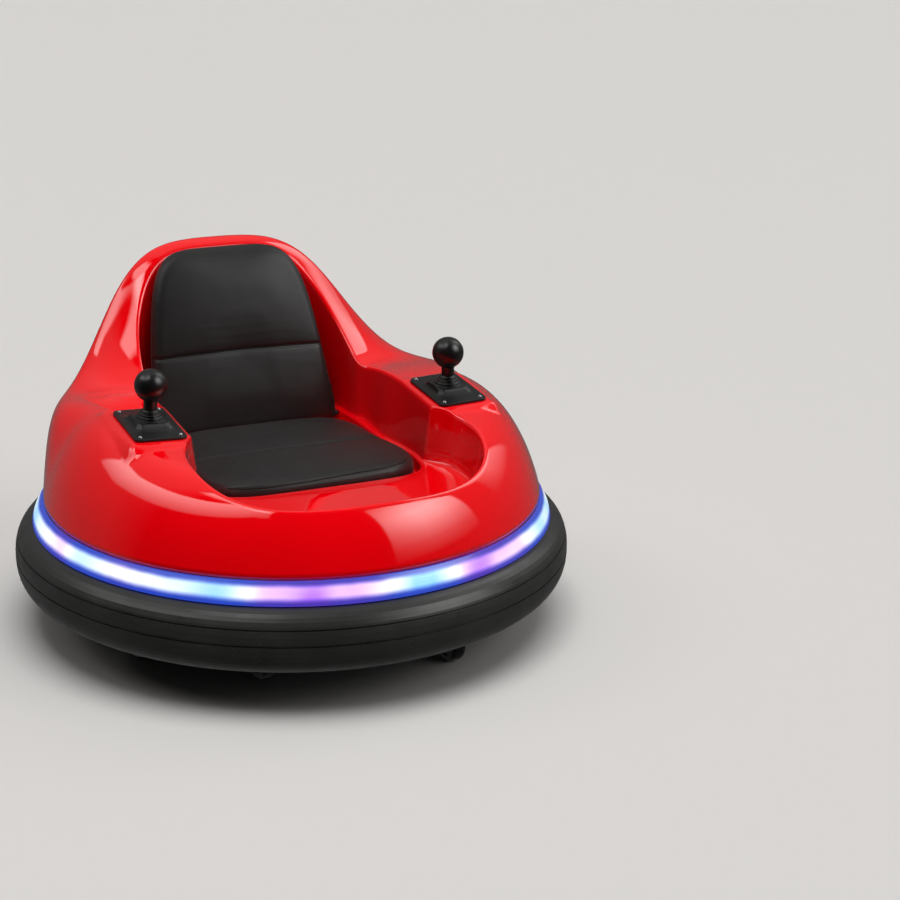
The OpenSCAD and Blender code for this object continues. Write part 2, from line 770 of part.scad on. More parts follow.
castor_plate_t = 3;
race_r = 15;
race_h = 5;
crown_t = 4;
crown_top_z = castor_h - castor_plate_t - race_h - 0.5;
cheek_t = 2.5;
cheek_gap = 2;
pin_head_t = 2.5;
module castor_plate(c) {
    color([0.75, 0.76, 0.78])
        on_pivot(c) {
            translate([0, 0, castor_h - castor_plate_t])
                rounded_slab(castor_plate_w * 0.85, castor_plate_w * 0.85, castor_plate_t, 5);
            translate([0, 0, castor_h - castor_plate_t - race_h])
                cylinder(r = race_r, h = race_h + 1);
            translate([0, 0, crown_top_z - crown_t - 1])
                cylinder(d = kingpin_d, h = crown_t + race_h);
            translate([0, 0, crown_top_z - crown_t - 0.5 - pin_head_t])
                cylinder(d = kingpin_d + 6, h = pin_head_t);
        }
}

module castor_fork(c) {
    half = castor_w / 2 + cheek_gap;
    color([0.7, 0.71, 0.73])
        on_pivot(c)
            rotate([0, 0, c[3]])
                difference() {
                    union() {
                        translate([0, 0, crown_top_z - crown_t])
                            cylinder(r = race_r + 1, h = crown_t);
                        translate([0, -half - cheek_t, crown_top_z - crown_t])
                            cube([castor_trail + 5, 2 * (half + cheek_t), crown_t]);
                        for (s = [-1, 1])
                            translate([0, s > 0 ? half + cheek_t : -half, 0])
                                rotate([90, 0, 0])
                                    linear_extrude(cheek_t)
                                        polygon([
                                            [2, crown_top_z], [castor_trail + 5, crown_top_z],
                                            [castor_trail + 8, castor_r + 4],
                                            [castor_trail + 6, castor_r - 6],
                                            [castor_trail - 6, castor_r - 6],
                                            [castor_trail - 9, castor_r + 3]
                                        ]);
                        translate([castor_trail, -half - cheek_t - 2, castor_r])
                            rotate([-90, 0, 0])
                                cylinder(d = castor_axle_d, h = 2 * (half + cheek_t) + 4);
                    }
                    translate([0, 0, crown_top_z - crown_t - 1])
                        cylinder(d = kingpin_d + 2 * bore_gap, h = crown_t + 2);
                }
}

module castor_wheel(c) {
    color([0.1, 0.1, 0.1])
        on_pivot(c)
            rotate([0, 0, c[3]])
                translate([castor_trail, 0, castor_r])
                    rotate([-90, 0, 0])
                        rotate_extrude($fn = 96)
                            polygon([
                                [castor_axle_d / 2 + bore_gap, -castor_w / 2 - 1],
                                [9, -castor_w / 2 - 1], [9, -castor_w / 2 + 2],
                                [castor_r - 8, -castor_w / 2 + 2], [castor_r - 7, -castor_w / 2],
                                [castor_r - 2, -castor_w / 2], [castor_r, -castor_w / 2 + 4],
                                [castor_r, castor_w / 2 - 4], [castor_r - 2, castor_w / 2],
                                [castor_r - 7, castor_w / 2], [castor_r - 8, castor_w / 2 - 2],
                                [9, castor_w / 2 - 2], [9, castor_w / 2 + 1],
                                [castor_axle_d / 2 + bore_gap, castor_w / 2 + 1]
                            ]);
}

body_shell();
bumper_ring();
light_strip();
chassis();
battery();
seat_cushion();
back_cushion();
for (s = sides) {
    joystick_plate(s[1]);
    joystick_boot(s[1]);
    joystick_lever(s[1]);
    joystick_knob(s[1]);
    gear_motor(s[1]);
    drive_axle(s[1]);
    drive_hub(s[1]);
    drive_tyre(s[1]);
}
for (c = castors) {
    castor_plate(c);
    castor_fork(c);
    castor_wheel(c);
}
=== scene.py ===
import json
import math

import bmesh
import bpy
import numpy as np
from mathutils import Matrix, Vector
from mathutils.bvhtree import BVHTree


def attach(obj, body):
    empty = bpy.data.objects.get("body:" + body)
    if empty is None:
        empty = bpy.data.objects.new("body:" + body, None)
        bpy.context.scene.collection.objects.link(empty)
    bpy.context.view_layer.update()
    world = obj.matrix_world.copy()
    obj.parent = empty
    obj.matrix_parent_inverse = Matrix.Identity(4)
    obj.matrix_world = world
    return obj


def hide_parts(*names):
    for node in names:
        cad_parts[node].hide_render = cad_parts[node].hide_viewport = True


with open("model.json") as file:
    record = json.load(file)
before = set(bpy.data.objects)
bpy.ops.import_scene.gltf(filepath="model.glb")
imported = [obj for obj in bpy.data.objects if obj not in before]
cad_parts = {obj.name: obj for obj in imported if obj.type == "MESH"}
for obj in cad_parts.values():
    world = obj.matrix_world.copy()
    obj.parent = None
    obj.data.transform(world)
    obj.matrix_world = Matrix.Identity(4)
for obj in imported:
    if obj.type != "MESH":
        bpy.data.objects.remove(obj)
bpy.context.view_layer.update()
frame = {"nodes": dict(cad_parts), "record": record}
nodes = frame["nodes"]
scene = bpy.context.scene
mm = 0.001


# Helpers


# Scene-linear colour with alpha
def linear(hexColour):
    parts = [int(hexColour[i:i + 2], 16) / 255 for i in (1, 3, 5)]
    light = [c / 12.92 if c <= 0.04045 else ((c + 0.055) / 1.055) ** 2.4 for c in parts]
    return (*light, 1.0)


def mix(a, b, t):
    return a + (b - a) * t


def ease(t):
    c = np.clip(t, 0, 1)
    return c * c * (3 - 2 * c)


def between(v, span):
    return ease((v - span[0]) / (span[1] - span[0]))


# The greater of two values, with the corner between them rounded over a width
def softMax(a, b, k):
    h = np.clip(0.5 + (a - b) / (2 * k), 0, 1)
    return mix(b, a, h) + k * h * (1 - h)


def bulge(s, n):
    return np.maximum(1 - np.clip(s, 0, 1) ** n, 0) ** (1 / n)


# Points of a superellipse
def superPoint(angle, w, h, n):
    c, s = np.cos(angle), np.sin(angle)
    return w * np.sign(c) * np.abs(c) ** (2 / n), h * np.sign(s) * np.abs(s) ** (2 / n)


def link(obj, body, material):
    scene.collection.objects.link(obj)
    obj.data.materials.append(material)
    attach(obj, body)
    return obj


def meshFrom(name, points, faces, smooth=True):
    data = bpy.data.meshes.new(name)
    data.from_pydata([tuple(p) for p in points], [], faces)
    bm = bmesh.new()
    bm.from_mesh(data)
    bmesh.ops.recalc_face_normals(bm, faces=bm.faces)
    bm.to_mesh(data)
    bm.free()
    data.polygons.foreach_set("use_smooth", [smooth] * len(data.polygons))
    return bpy.data.objects.new(name, data)


# Closed form: rings joined by quads, with a fan of triangles to a point at each end
def loft(name, rings, first, last):
    count = len(rings[0])
    points = [p for ring in rings for p in ring]
    faces = []
    for j in range(len(rings) - 1):
        near, far = j * count, (j + 1) * count
        for i in range(count):
            k = (i + 1) % count
            faces.append((near + i, near + k, far + k, far + i))
    points.append(first)
    faces += [(len(points) - 1, (i + 1) % count, i) for i in range(count)]
    points.append(last)
    base = count * (len(rings) - 1)
    faces += [(len(points) - 1, base + i, base + (i + 1) % count) for i in range(count)]
    return meshFrom(name, points, faces)


def tube(name, path, radius, sides):
    rings = []
    for i in range(len(path)):
        way = (path[min(i + 1, len(path) - 1)] - path[max(i - 1, 0)]).normalized()
        side = way.orthogonal() if not rings else side - way * side.dot(way)
        side = side.normalized()
        up = way.cross(side)
        rings.append([
            path[i] + radius * (math.cos(a) * side + math.sin(a) * up)
            for a in (2 * math.pi * k / sides for k in range(sides))
        ])
    return loft(name, rings, path[0], path[-1])


# Materials


def newMaterial(name):
    material = bpy.data.materials.new(name)
    material.use_nodes = True
    tree = material.node_tree
    shader = tree.nodes["Principled BSDF"]
    return material, tree, shader


def add(tree, kind, inputs=None, **settings):
    node = tree.nodes.new("ShaderNode" + kind)
    for key, value in settings.items():
        setattr(node, key, value)
    for key, value in (inputs or {}).items():
        if isinstance(value, bpy.types.NodeSocket):
            tree.links.new(value, node.inputs[key])
        else:
            node.inputs[key].default_value = value
    return node


def put(shader, **values):
    for key, value in values.items():
        shader.inputs[key.replace("_", " ")].default_value = value


# Noise with patches of a given size in mm
def noise(tree, where, size, detail):
    return add(tree, "TexNoise", {
        "Vector": where, "Scale": 1 / (size * mm), "Detail": detail,
    }).outputs["Fac"]


def spread(tree, value, low, high, fromLow=0.0, fromHigh=1.0):
    return add(tree, "MapRange", {
        "Value": value, "From Min": fromLow, "From Max": fromHigh, "To Min": low, "To Max": high,
    }).outputs["Result"]


def bump(tree, shader, height, depth, strength):
    node = add(tree, "Bump", {"Height": height, "Distance": depth * mm, "Strength": strength})
    tree.links.new(node.outputs["Normal"], shader.inputs["Normal"])


def blendColour(tree, fac, a, b):
    node = add(tree, "Mix", data_type="RGBA")
    for key, value in (("Factor", fac), ("A", a), ("B", b)):
        socket = [s for s in node.inputs if s.name == key and s.enabled][0]
        if isinstance(value, bpy.types.NodeSocket):
            tree.links.new(value, socket)
        else:
            socket.default_value = value
    return [s for s in node.outputs if s.enabled][0]


def ramp(tree, fac, stops, interpolation="LINEAR"):
    node = add(tree, "ValToRGB", {"Fac": fac})
    node.color_ramp.interpolation = interpolation
    for i, (x, colour) in enumerate(stops):
        stop = node.color_ramp.elements[i] if i < 2 else node.color_ramp.elements.new(x)
        stop.position = x
        stop.color = colour if isinstance(colour, tuple) else (colour, colour, colour, 1)
    return node.outputs["Color"]


def place(tree):
    return add(tree, "TexCoord").outputs["Object"]


# Base colour that drifts between two tones
def drift(tree, shader, tone, span, colour, other):
    base = blendColour(tree, spread(tree, tone, 0, 1, *span), linear(colour), linear(other))
    tree.links.new(base, shader.inputs["Base Color"])


def roughen(tree, shader, value, rough, span):
    tree.links.new(spread(tree, value, *rough, *span), shader.inputs["Roughness"])


# Glossy moulded plastic under a clear skin: an even deep red, with the faint long wave and the
# fine haze that polished mouldings have
def glossShell(name, colour, deep):
    material, tree, shader = newMaterial(name)
    where = place(tree)
    drift(tree, shader, noise(tree, where, size=190, detail=1), (0.3, 0.7), colour, deep)
    roughen(tree, shader, noise(tree, where, size=7, detail=4), (0.035, 0.075), (0.35, 0.7))
    put(shader, IOR=1.5, Coat_Weight=1.0, Coat_Roughness=0.03, Coat_IOR=1.65)
    bump(tree, shader, noise(tree, where, size=46, detail=1), depth=0.1, strength=0.25)
    return material


# Moulded rubber or plastic: colour, gloss and a fine skin texture of a given grain in mm
def moulded(name, colour, pale, rough, grain, depth, spec=0.5):
    material, tree, shader = newMaterial(name)
    where = place(tree)
    drift(tree, shader, noise(tree, where, size=60, detail=4), (0.35, 0.65), colour, pale)
    clouds = noise(tree, where, size=25, detail=5)
    roughen(tree, shader, clouds, (rough - 0.06, rough + 0.06), (0.3, 0.7))
    put(shader, Specular_IOR_Level=spec)
    bump(tree, shader, noise(tree, where, grain, detail=3), depth, strength=0.6)
    return material


# Grained vinyl: pebbles of about 1 mm with fine creases, satin
def grainedVinyl(name, colour, pale, rough):
    material, tree, shader = newMaterial(name)
    where = place(tree)
    drift(tree, shader, noise(tree, where, size=38, detail=4), (0.35, 0.65), colour, pale)
    pebbles = {"Vector": where, "Scale": 1 / (1.2 * mm), "Randomness": 0.85}
    cells = add(tree, "TexVoronoi", pebbles, feature="SMOOTH_F1").outputs["Distance"]
    creases = noise(tree, where, size=0.6, detail=2)
    grain = add(tree, "Math", {0: cells, 1: creases}, operation="ADD").outputs[0]
    roughen(tree, shader, cells, (rough + 0.08, rough - 0.06), (0.1, 0.6))
    put(shader, Specular_IOR_Level=0.65, Sheen_Weight=0.05, Sheen_Roughness=0.4)
    bump(tree, shader, grain, depth=0.12, strength=0.5)
    return material


# Steel: turned, zinc plated or polished, by its roughness and the size of its grain in mm
def steel(name, colour, rough, grain):
    material, tree, shader = newMaterial(name)
    skin = noise(tree, place(tree), grain, detail=4)
    put(shader, Metallic=1.0, Base_Color=linear(colour))
    roughen(tree, shader, skin, (rough - 0.07, rough + 0.1), (0.3, 0.7))
    bump(tree, shader, skin, depth=0.03, strength=0.4)
    return material


# Light strip: a milky lens lit from behind by coloured diodes, white over most of its height,
# deep blue at both edges, with soft patches of ice blue, pink and violet round the car
lens = {
    "low": 138, "high": 164, "body": "#3c465c", "strength": 1.2, "edge": 0.5,
    "wander": 0.02, "wanderScale": 22, "patchScale": 6, "patchDetail": 1.5, "patchRough": 0.6,
    "across": ((0.1, 0.0), (0.42, 1.0), (0.7, 1.0), (0.94, 0.0)),
    "hues": (
        (0.36, "#b872ff"), (0.42, "#f2c4ff"), (0.47, "#ffffff"), (0.53, "#dcf2ff"),
        (0.61, "#8ccfff"),
    ),
    "edges": ((0.38, "#5a10e8"), (0.5, "#0048ff")),
}


def litLens():
    material, tree, shader = newMaterial("Lit_Milky_Lens")
    axes = add(tree, "SeparateXYZ", {"Vector": place(tree)}).outputs
    height = spread(tree, axes["Z"], 0, 1, lens["low"] * mm, lens["high"] * mm)
    flat = add(tree, "CombineXYZ", {"X": axes["X"], "Y": axes["Y"]}).outputs[0]
    wave = add(tree, "TexNoise", {"Vector": flat, "Scale": lens["wanderScale"], "Detail": 2.0})
    shift = spread(tree, wave.outputs["Fac"], -lens["wander"], lens["wander"], 0.3, 0.7)
    height = add(tree, "Math", {0: height, 1: shift}, operation="ADD").outputs[0]
    across = ramp(tree, height, lens["across"], "EASE")
    patch = add(tree, "TexNoise", {
        "Vector": flat, "Scale": lens["patchScale"], "Detail": lens["patchDetail"],
        "Roughness": lens["patchRough"],
    }).outputs["Fac"]
    hue = ramp(tree, patch, [(x, linear(colour)) for x, colour in lens["hues"]])
    edge = ramp(tree, patch, [(x, linear(colour)) for x, colour in lens["edges"]])
    tree.links.new(blendColour(tree, across, edge, hue), shader.inputs["Emission Color"])
    power = spread(tree, across, lens["edge"], lens["strength"])
    tree.links.new(power, shader.inputs["Emission Strength"])
    put(shader, Base_Color=linear(lens["body"]), Roughness=0.22)
    put(shader, Coat_Weight=0.5, Coat_Roughness=0.05)
    return material


shellRed = glossShell("Gloss_Plastic_Red", "#f0000d", "#e80009")
# Mouldings have two tones, roughness, grain and its depth in mm, and some a specular level
materials = {
    "shell": shellRed,
    "bumper": moulded("Bumper_Rubber", "#272726", "#2d2d2c", 0.33, 1.4, 0.05, 0.7),
    "light": litLens(),
    "chassis": moulded("Chassis_Plastic", "#151516", "#1d1d1f", 0.55, 1.8, 0.06),
    "battery": moulded("Battery_Case", "#2c2c2f", "#38383b", 0.45, 1.5, 0.05),
    "cushion": grainedVinyl("Seat_Vinyl", "#181818", "#1e1e1e", 0.45),
    "console": moulded("Console_Plastic", "#141414", "#1a1a1a", 0.38, 0.9, 0.05, 0.7),
    "boot": moulded("Boot_Rubber", "#0f0f0f", "#151515", 0.32, 0.8, 0.03, 0.8),
    "lever": moulded("Lever_Plastic", "#121212", "#171717", 0.3, 0.9, 0.02, 0.8),
    "knob": moulded("Knob_Plastic", "#0d0d0d", "#121212", 0.33, 0.8, 0.012, 1.0),
    "motor": moulded("Gearbox_Plastic", "#252527", "#2e2e31", 0.5, 1.6, 0.06),
    "axle": steel("Turned_Steel", "#b4b4b8", 0.3, 0.8),
    "hub": moulded("Hub_Plastic", "#b3b5b7", "#bfc1c3", 0.42, 1.4, 0.05),
    "wheel_rubber": moulded("Wheel_Rubber", "#131313", "#1b1b1b", 0.62, 1.1, 0.12, 0.35),
    "castor_metal": steel("Zinc_Plate", "#a9acb0", 0.32, 2.4),
    "castor_rubber": moulded("Castor_Rubber", "#151515", "#1d1d1d", 0.55, 1.1, 0.08, 0.4),
}
for part in frame["record"]["subparts"]:
    obj = nodes[part["node"]]
    if not obj.material_slots:
        obj.data.materials.append(None)
    for holder in obj.material_slots:
        holder.material = materials[part["material_slot"]]
# Stitching and piping: real parts, made darker than the cover vinyl as painted shade in the seams'
# valleys
seamThreadAndShade = moulded("Seam_Vinyl_And_Painted_Shade", "#0a0a0b", "#0e0e0f", 0.6, 0.6, 0.03)
screwSteel = steel("Screw_Steel", "#d2d4d8", 0.2, 0.5)
print("materials done")


# Body shell: the solid's form with more points round and along it. The back edge of its opening
# lies further back under the hood's crest, as in the photo
shell = {
    "radius": 320, "baseZ": 160, "wideZ": 172, "skirtZ": 90, "armrestZ": 283, "shoulderZ": 270,
    "noseZ": 262, "hoodZ": 436.5, "hoodFootW": 297, "hoodStartY": 140, "hoodRise": 146,
    "arch": (4, 4.25), "wall": 3.2, "rim": 6, "noseY": (-260, -40), "rearY": (38, 225),
    "crown": (81, 30, 28), "edge": (2, 5.5, 6), "rise": 0.15, "armSlope": (40, 25),
    "stations": 420, "outerSteps": 84, "insideStep": 3, "halvings": 40,
}
cockpit = {
    "wellW": 162, "wellMid": 10, "wellL": 150, "wellN": 6, "recessW": 186, "recessFront": 282.5,
    "recessMid": 150, "recessN": 2.2, "probe": 150, "back": 281.5, "hoodW": 149, "hoodMid": 96,
    "hoodN": 3.2, "wellBlend": 6, "hoodBlend": 8, "shelfZ": 206, "panZ": 190, "panW": 137,
    "panFront": 120, "panBack": 221, "panN": 6, "flare": 0.08, "flareY": 60, "flareL": 110,
    "lean": 0.22, "backLean": 0.04, "backFrom": 110, "backFade": 40, "wallRound": 12,
    "roundShare": 0.4, "lipRound": 5, "panFillet": ((1, 3), (2.5, 0.8), (5, 0)),
}
pad = {
    "x": 202, "y": -37, "z": 284, "w": 66, "l": 104, "pitch": math.radians(4.2),
    "roll": math.radians(2.5), "margin": 3, "fade": 16, "gap": 0.3,
}


def flare(y):
    return 1 + cockpit["flare"] * ease((cockpit["flareY"] - y) / cockpit["flareL"])


# Distance from the axis to a superellipse's edge at each angle, found by halving
def reach(phi, mid, w, h, n, low=0.0, flared=False):
    a = np.full_like(phi, low)
    b = np.full_like(phi, float(shell["radius"]))
    for _ in range(shell["halvings"]):
        r = (a + b) / 2
        x, y = np.sin(phi) * r, -np.cos(phi) * r
        wide = w * flare(y) if flared else w
        inside = (np.abs(x) / wide) ** n + (np.abs(y - mid) / h) ** n < 1
        a = np.where(inside, r, a)
        b = np.where(inside, b, r)
    return (a + b) / 2


# The leg recess has an edge only at angles where the probe's distance lies inside it
def recessReach(phi):
    mid, w, n = -cockpit["recessMid"], cockpit["recessW"], cockpit["recessN"]
    h = cockpit["recessFront"] - cockpit["recessMid"]
    r = cockpit["probe"]
    inside = (np.abs(np.sin(phi) * r) / w) ** n + (np.abs(-np.cos(phi) * r - mid) / h) ** n < 1
    return np.where(inside, reach(phi, mid, w, h, n, r), 0)


def openingR(phi):
    c = cockpit
    well = reach(phi, c["wellMid"], c["wellW"], c["wellL"], c["wellN"])
    hood = reach(phi, c["hoodMid"], c["hoodW"], c["back"] - c["hoodMid"], c["hoodN"])
    return softMax(softMax(recessReach(phi), well, c["wellBlend"]), hood, c["hoodBlend"])


def panR(phi):
    mid = (cockpit["panBack"] - cockpit["panFront"]) / 2
    half = (cockpit["panBack"] + cockpit["panFront"]) / 2
    return reach(phi, mid, cockpit["panW"], half, cockpit["panN"], flared=True)


# Lean of the cockpit's wall: less at the back
def leanAt(phi):
    away = np.degrees(np.abs((phi + math.pi) % (2 * math.pi) - math.pi))
    behind = ease((away - cockpit["backFrom"]) / cockpit["backFade"])
    return mix(cockpit["lean"], cockpit["backLean"], behind)


def padZ(x, y):
    return (pad["z"] + (np.abs(x) - pad["x"]) * math.tan(pad["roll"])
            + (y - pad["y"]) * math.tan(pad["pitch"]) / math.cos(pad["roll"]))


# How far the shell is levelled for the console: 1 under it, fading to 0 around it
def padShare(x, y):
    margin, fade = pad["margin"], pad["fade"]
    side = ease((pad["w"] / 2 + margin + fade - np.abs(np.abs(x) - pad["x"])) / fade)
    end = ease((pad["l"] / 2 + margin + fade - np.abs(y - pad["y"])) / fade)
    return side * end


def softStep(t):
    k = shell["rise"]
    return softMax(-softMax(-t, -1, k), 0, k)


def armZ(y):
    far, k = shell["armSlope"]
    return shell["armrestZ"] - math.tan(pad["pitch"]) * softMax(pad["y"] - y, -far, k)


def shellZ(x, y):
    s = shell
    arch = (1 - np.clip(np.abs(x) / s["hoodFootW"], 0, 1) ** s["arch"][0]) ** s["arch"][1]
    hood = np.clip(arch * softStep((y - s["hoodStartY"]) / s["hoodRise"]), 0, 1)
    rear = between(y, s["rearY"])
    level = mix(mix(s["noseZ"], armZ(y), between(y, s["noseY"])), s["shoulderZ"], rear)
    top = mix(level, s["hoodZ"], hood)
    n = mix(mix(s["edge"][0], s["edge"][1], rear), s["edge"][2], hood)
    low = mix(s["skirtZ"], s["wideZ"], rear)
    inner = s["radius"] - mix(mix(s["crown"][0], s["crown"][1], rear), s["crown"][2], hood)
    share = (1 - ((s["wideZ"] - low) / (top - low)) ** n) ** (1 / n)
    outer = inner + (s["radius"] - inner) / share
    dome = low + (top - low) * bulge((np.hypot(x, y) - inner) / (outer - inner), n)
    return mix(dome, padZ(x, y), padShare(x, y))


def shellAt(phi, r):
    return shellZ(np.sin(phi) * r, -np.cos(phi) * r)


def bend(a, corner, b, t):
    return mix(mix(a, corner, t), mix(corner, b, t), t)


# Sections from the lower edge over the dome, the rim, the wall, the shelf and the lip to the pan
def shellSections():
    phi = np.linspace(0, 2 * math.pi, shell["stations"], endpoint=False)

    def point(r, z):
        return np.stack([r + 0 * phi, z + 0 * phi], -1)

    rim, lip, shelf = shell["rim"], cockpit["lipRound"], cockpit["shelfZ"]
    opening = openingR(phi)
    crest = point(opening, shellAt(phi, opening))
    rIn = opening + rim
    rimOut = point(rIn, shellAt(phi, rIn))
    lean = leanAt(phi)
    wallTop = crest + np.stack([-lean, 0 * lean - 1], -1) * rim
    rLip = panR(phi) + lip
    corner = point(np.maximum(rLip + 2, opening - lean * (crest[:, 1] - shelf)), shelf)
    up = wallTop - corner
    most = cockpit["roundShare"]
    upward = np.minimum(cockpit["wallRound"] / np.linalg.norm(up, axis=1), most)
    wallFoot = corner + up * upward[:, None]
    inward = np.minimum(cockpit["wallRound"] / (corner[:, 0] - rLip), most)
    shelfStart = point(mix(corner[:, 0], rLip, inward), shelf)
    rows = [point(shell["radius"] - 1, shell["baseZ"])]
    for i in range(shell["outerSteps"] + 1):
        r = mix(rIn, shell["radius"], math.sin(math.pi / 2 * (1 - i / shell["outerSteps"])))
        rows.append(point(r, shellAt(phi, r)))
    rows += [bend(rimOut, crest, wallTop, t) for t in (0.16, 0.32, 0.48, 0.64, 0.8, 0.92)]
    rows += [mix(wallTop, wallFoot, t) for t in np.linspace(0, 1, 12)]
    rows += [bend(wallFoot, corner, shelfStart, t) for t in (0.25, 0.5, 0.75)]
    shelfEnd = point(rLip, shelf)
    rows += [mix(shelfStart, shelfEnd, t) for t in (0, 0.25, 0.5, 0.75, 1)]
    lipCorner = point(rLip - lip, shelf)
    lipFoot = point(rLip - lip, shelf - lip)
    rows += [bend(shelfEnd, lipCorner, lipFoot, t) for t in (0.25, 0.5, 0.75, 1)]
    for inset, rise in cockpit["panFillet"]:
        rows.append(point(rLip - lip - inset, cockpit["panZ"] + rise))
    return phi, np.array(rows)


# The same sections moved inwards by the wall's thickness, square to themselves
def insetRows(rows, d):
    before = np.concatenate([rows[:1], rows[:-1]])
    after = np.concatenate([rows[1:], rows[-1:]])
    way = after - before
    way /= np.linalg.norm(way, axis=2)[:, :, None]
    moved = rows + np.stack([-way[:, :, 1], way[:, :, 0]], -1) * d
    moved[0] = rows[0] - [d, 0]
    moved[-1] = rows[-1] - [0, d]
    return moved


def makeShell():
    phi, rows = shellSections()
    step = shell["insideStep"]
    inside = insetRows(rows[::step], shell["wall"])
    if (len(rows) - 1) % step:
        inside = np.concatenate([inside, insetRows(rows[-2:], shell["wall"])[-1:]])

    def around(row):
        r, z = row.T
        return np.stack([np.sin(phi) * r, -np.cos(phi) * r, z], -1) * mm

    rings = [around(row) for row in rows[::-1]] + [around(row) for row in inside]
    midY = (cockpit["panBack"] - cockpit["panFront"]) / 2
    first = (0, midY * mm, cockpit["panZ"] * mm)
    last = (0, midY * mm, (cockpit["panZ"] - shell["wall"]) * mm)
    return loft("moulded_shell", rings, first, last)


shellPiece = link(makeShell(), "car", shellRed)
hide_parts("body_shell")
print("shell done", len(shellPiece.data.polygons))


# Cushions: an upholstered form swells by cloth pressure between its pinned seams. Each form's rows
# hold an inset in mm and the share of the height, or of the depth, that the row lies at. Holds are
# the widths in mm over which points stay pinned
seat = {
    "front": 117.5, "back": 164.5, "w": 134.5, "footZ": 190.4, "frontH": 32, "backH": 19,
    "count": 112, "square": 4.6, "crown": 1.08, "topShare": 0.62, "start": 2.5, "voxel": 4.0,
    "pressure": 4.0, "cap": 6, "share": (0.3, 0.4, 1.0), "smoothing": 12,
    "seamY": 19, "pipe": (213.5, 2.2, 55), "pipeY": 100, "pipeX": 128, "pipeEnd": 60,
    "footHold": (5, 2), "rearHold": (8, 4), "rearShare": 0.9, "seamHold": 2.6, "pipeHold": 2.2,
    "seamCarve": (2.4, 2.0), "pipeCarve": (1.2, 1.6),
    "rows": ((7, 0), (2.5, 0.06), (0.5, 0.2), (0, 0.42), (0.5, 0.62), (2.2, 0.78), (5.5, 0.89),
             (11, 0.96), (20, 1.0), (45, 1.03), (85, 1.06)),
}
rest = {
    "w": 134, "h": 239, "taper": 0.2, "square": 6, "footY": 166, "lean": 13, "bow": 26,
    "scale": 240, "edge": 9, "lowRound": 10, "lowGrowth": 0.6, "archCount": 97, "footCount": 17,
    "footShare": 0.92, "footDrop": 9.2, "midShare": 0.45, "backY": 222, "start": 2.5,
    "voxel": 4.0, "pressure": 4.0, "cap": 6, "share": (0.3, 1.0, 0.35), "smoothing": 40,
    "seamZ": 299.5, "seamBow": 4, "frontDepth": 12, "footHold": (8, 3), "backHold": (0.3, 6),
    "seamHold": 2.6, "seamCarve": (3.0, 2.2),
    "rows": ((6, 1), (1.5, 0.95), (0, 0.82), (0, 0.5), (0.6, 0.3), (2.4, 0.16), (6, 0.07),
             (12, 0.02), (22, 0), (48, -0.03), (80, -0.05)),
    "crown": -0.06,
}
# Share of the start's shrink by which both forms are also narrower
tuckShare = 0.4
# Where the cockpit's wall starts below its shelf, the gap kept to it, and rounds to find it
wallGap = {"below": 6, "clear": 3, "rounds": 6}
# Cloth settings of the cover while it fills, and the frame that it is taken at
filling = {
    "quality": 6, "mass": 0.3, "tension_stiffness": 12, "compression_stiffness": 12,
    "bending_stiffness": 0.6, "use_pressure": True, "vertex_group_mass": "pin",
}
lastFrame = 20
# How much each round of smoothing takes over from the neighbours
evenShare = 0.7
# Cross section of a seam's valley: shares of its steep and its gentle part, and how much wider
# the gentle one is
valley = {"steep": 0.55, "gentle": 0.45, "wider": 2.6}
farOff = 99


def seatHeight(y):
    share = (y + seat["front"]) / (seat["front"] + seat["back"])
    return mix(seat["frontH"], seat["backH"], share)


def restFaceY(z):
    t = (z - cockpit["panZ"]) / rest["scale"]
    slope = math.tan(math.radians(rest["lean"]))
    return rest["footY"] + rest["scale"] * t * slope + rest["bow"] * t * t


# The cockpit's wall behind a point of the back cushion
def wallY(x, z):
    y = np.full_like(x, float(cockpit["panBack"]))
    foot = cockpit["shelfZ"] - wallGap["below"]
    for _ in range(wallGap["rounds"]):
        phi = np.arctan2(x, -y) % (2 * math.pi)
        r = openingR(phi)
        top = shellAt(phi, r) - shell["rim"]
        rise = np.clip((z - foot) / (top - foot), 0, 1)
        wall = mix(panR(phi), r - leanAt(phi) * shell["rim"], rise)
        y = np.sqrt(np.maximum((wall - wallGap["clear"]) ** 2 - x * x, 1))
    return y


def seatForm():
    count = seat["count"]
    angle = -2 * math.pi * (np.arange(count) + 0.5) / count
    mid = (seat["back"] - seat["front"]) / 2
    half = (seat["back"] + seat["front"]) / 2
    tuck = seat["start"] * tuckShare
    rings = []
    for inset, rise in seat["rows"]:
        x, dy = superPoint(angle, seat["w"] - inset - tuck, half - inset - tuck, seat["square"])
        y = mid + dy
        z = seat["footZ"] + (seatHeight(y) - seat["start"]) * rise
        rings.append(np.stack([x * flare(y), y, z], -1) * mm)
    topZ = seat["footZ"] + (seatHeight(mid) - seat["start"]) * seat["crown"]
    return loft("seat_pad", rings, (0, mid * mm, seat["footZ"] * mm), (0, mid * mm, topZ * mm))


# Arch of the back cushion, closed by a straight row at its foot
def restOutline(inset):
    low = rest["lowRound"] + inset * rest["lowGrowth"]
    high = rest["h"] - inset - low
    wide = rest["w"] - inset - rest["start"] * tuckShare
    turns = np.linspace(0, math.pi, rest["archCount"])
    x, rise = superPoint(turns, wide, high, rest["square"])
    x = x * (1 - rest["taper"] * np.maximum(rise, 0) / high)
    foot = np.linspace(-rest["footShare"], rest["footShare"], rest["footCount"]) * wide
    level = cockpit["panZ"] + low
    footZ = np.full(rest["footCount"], level - rest["footDrop"])
    return np.concatenate([x, foot]), np.concatenate([level + rise, footZ])


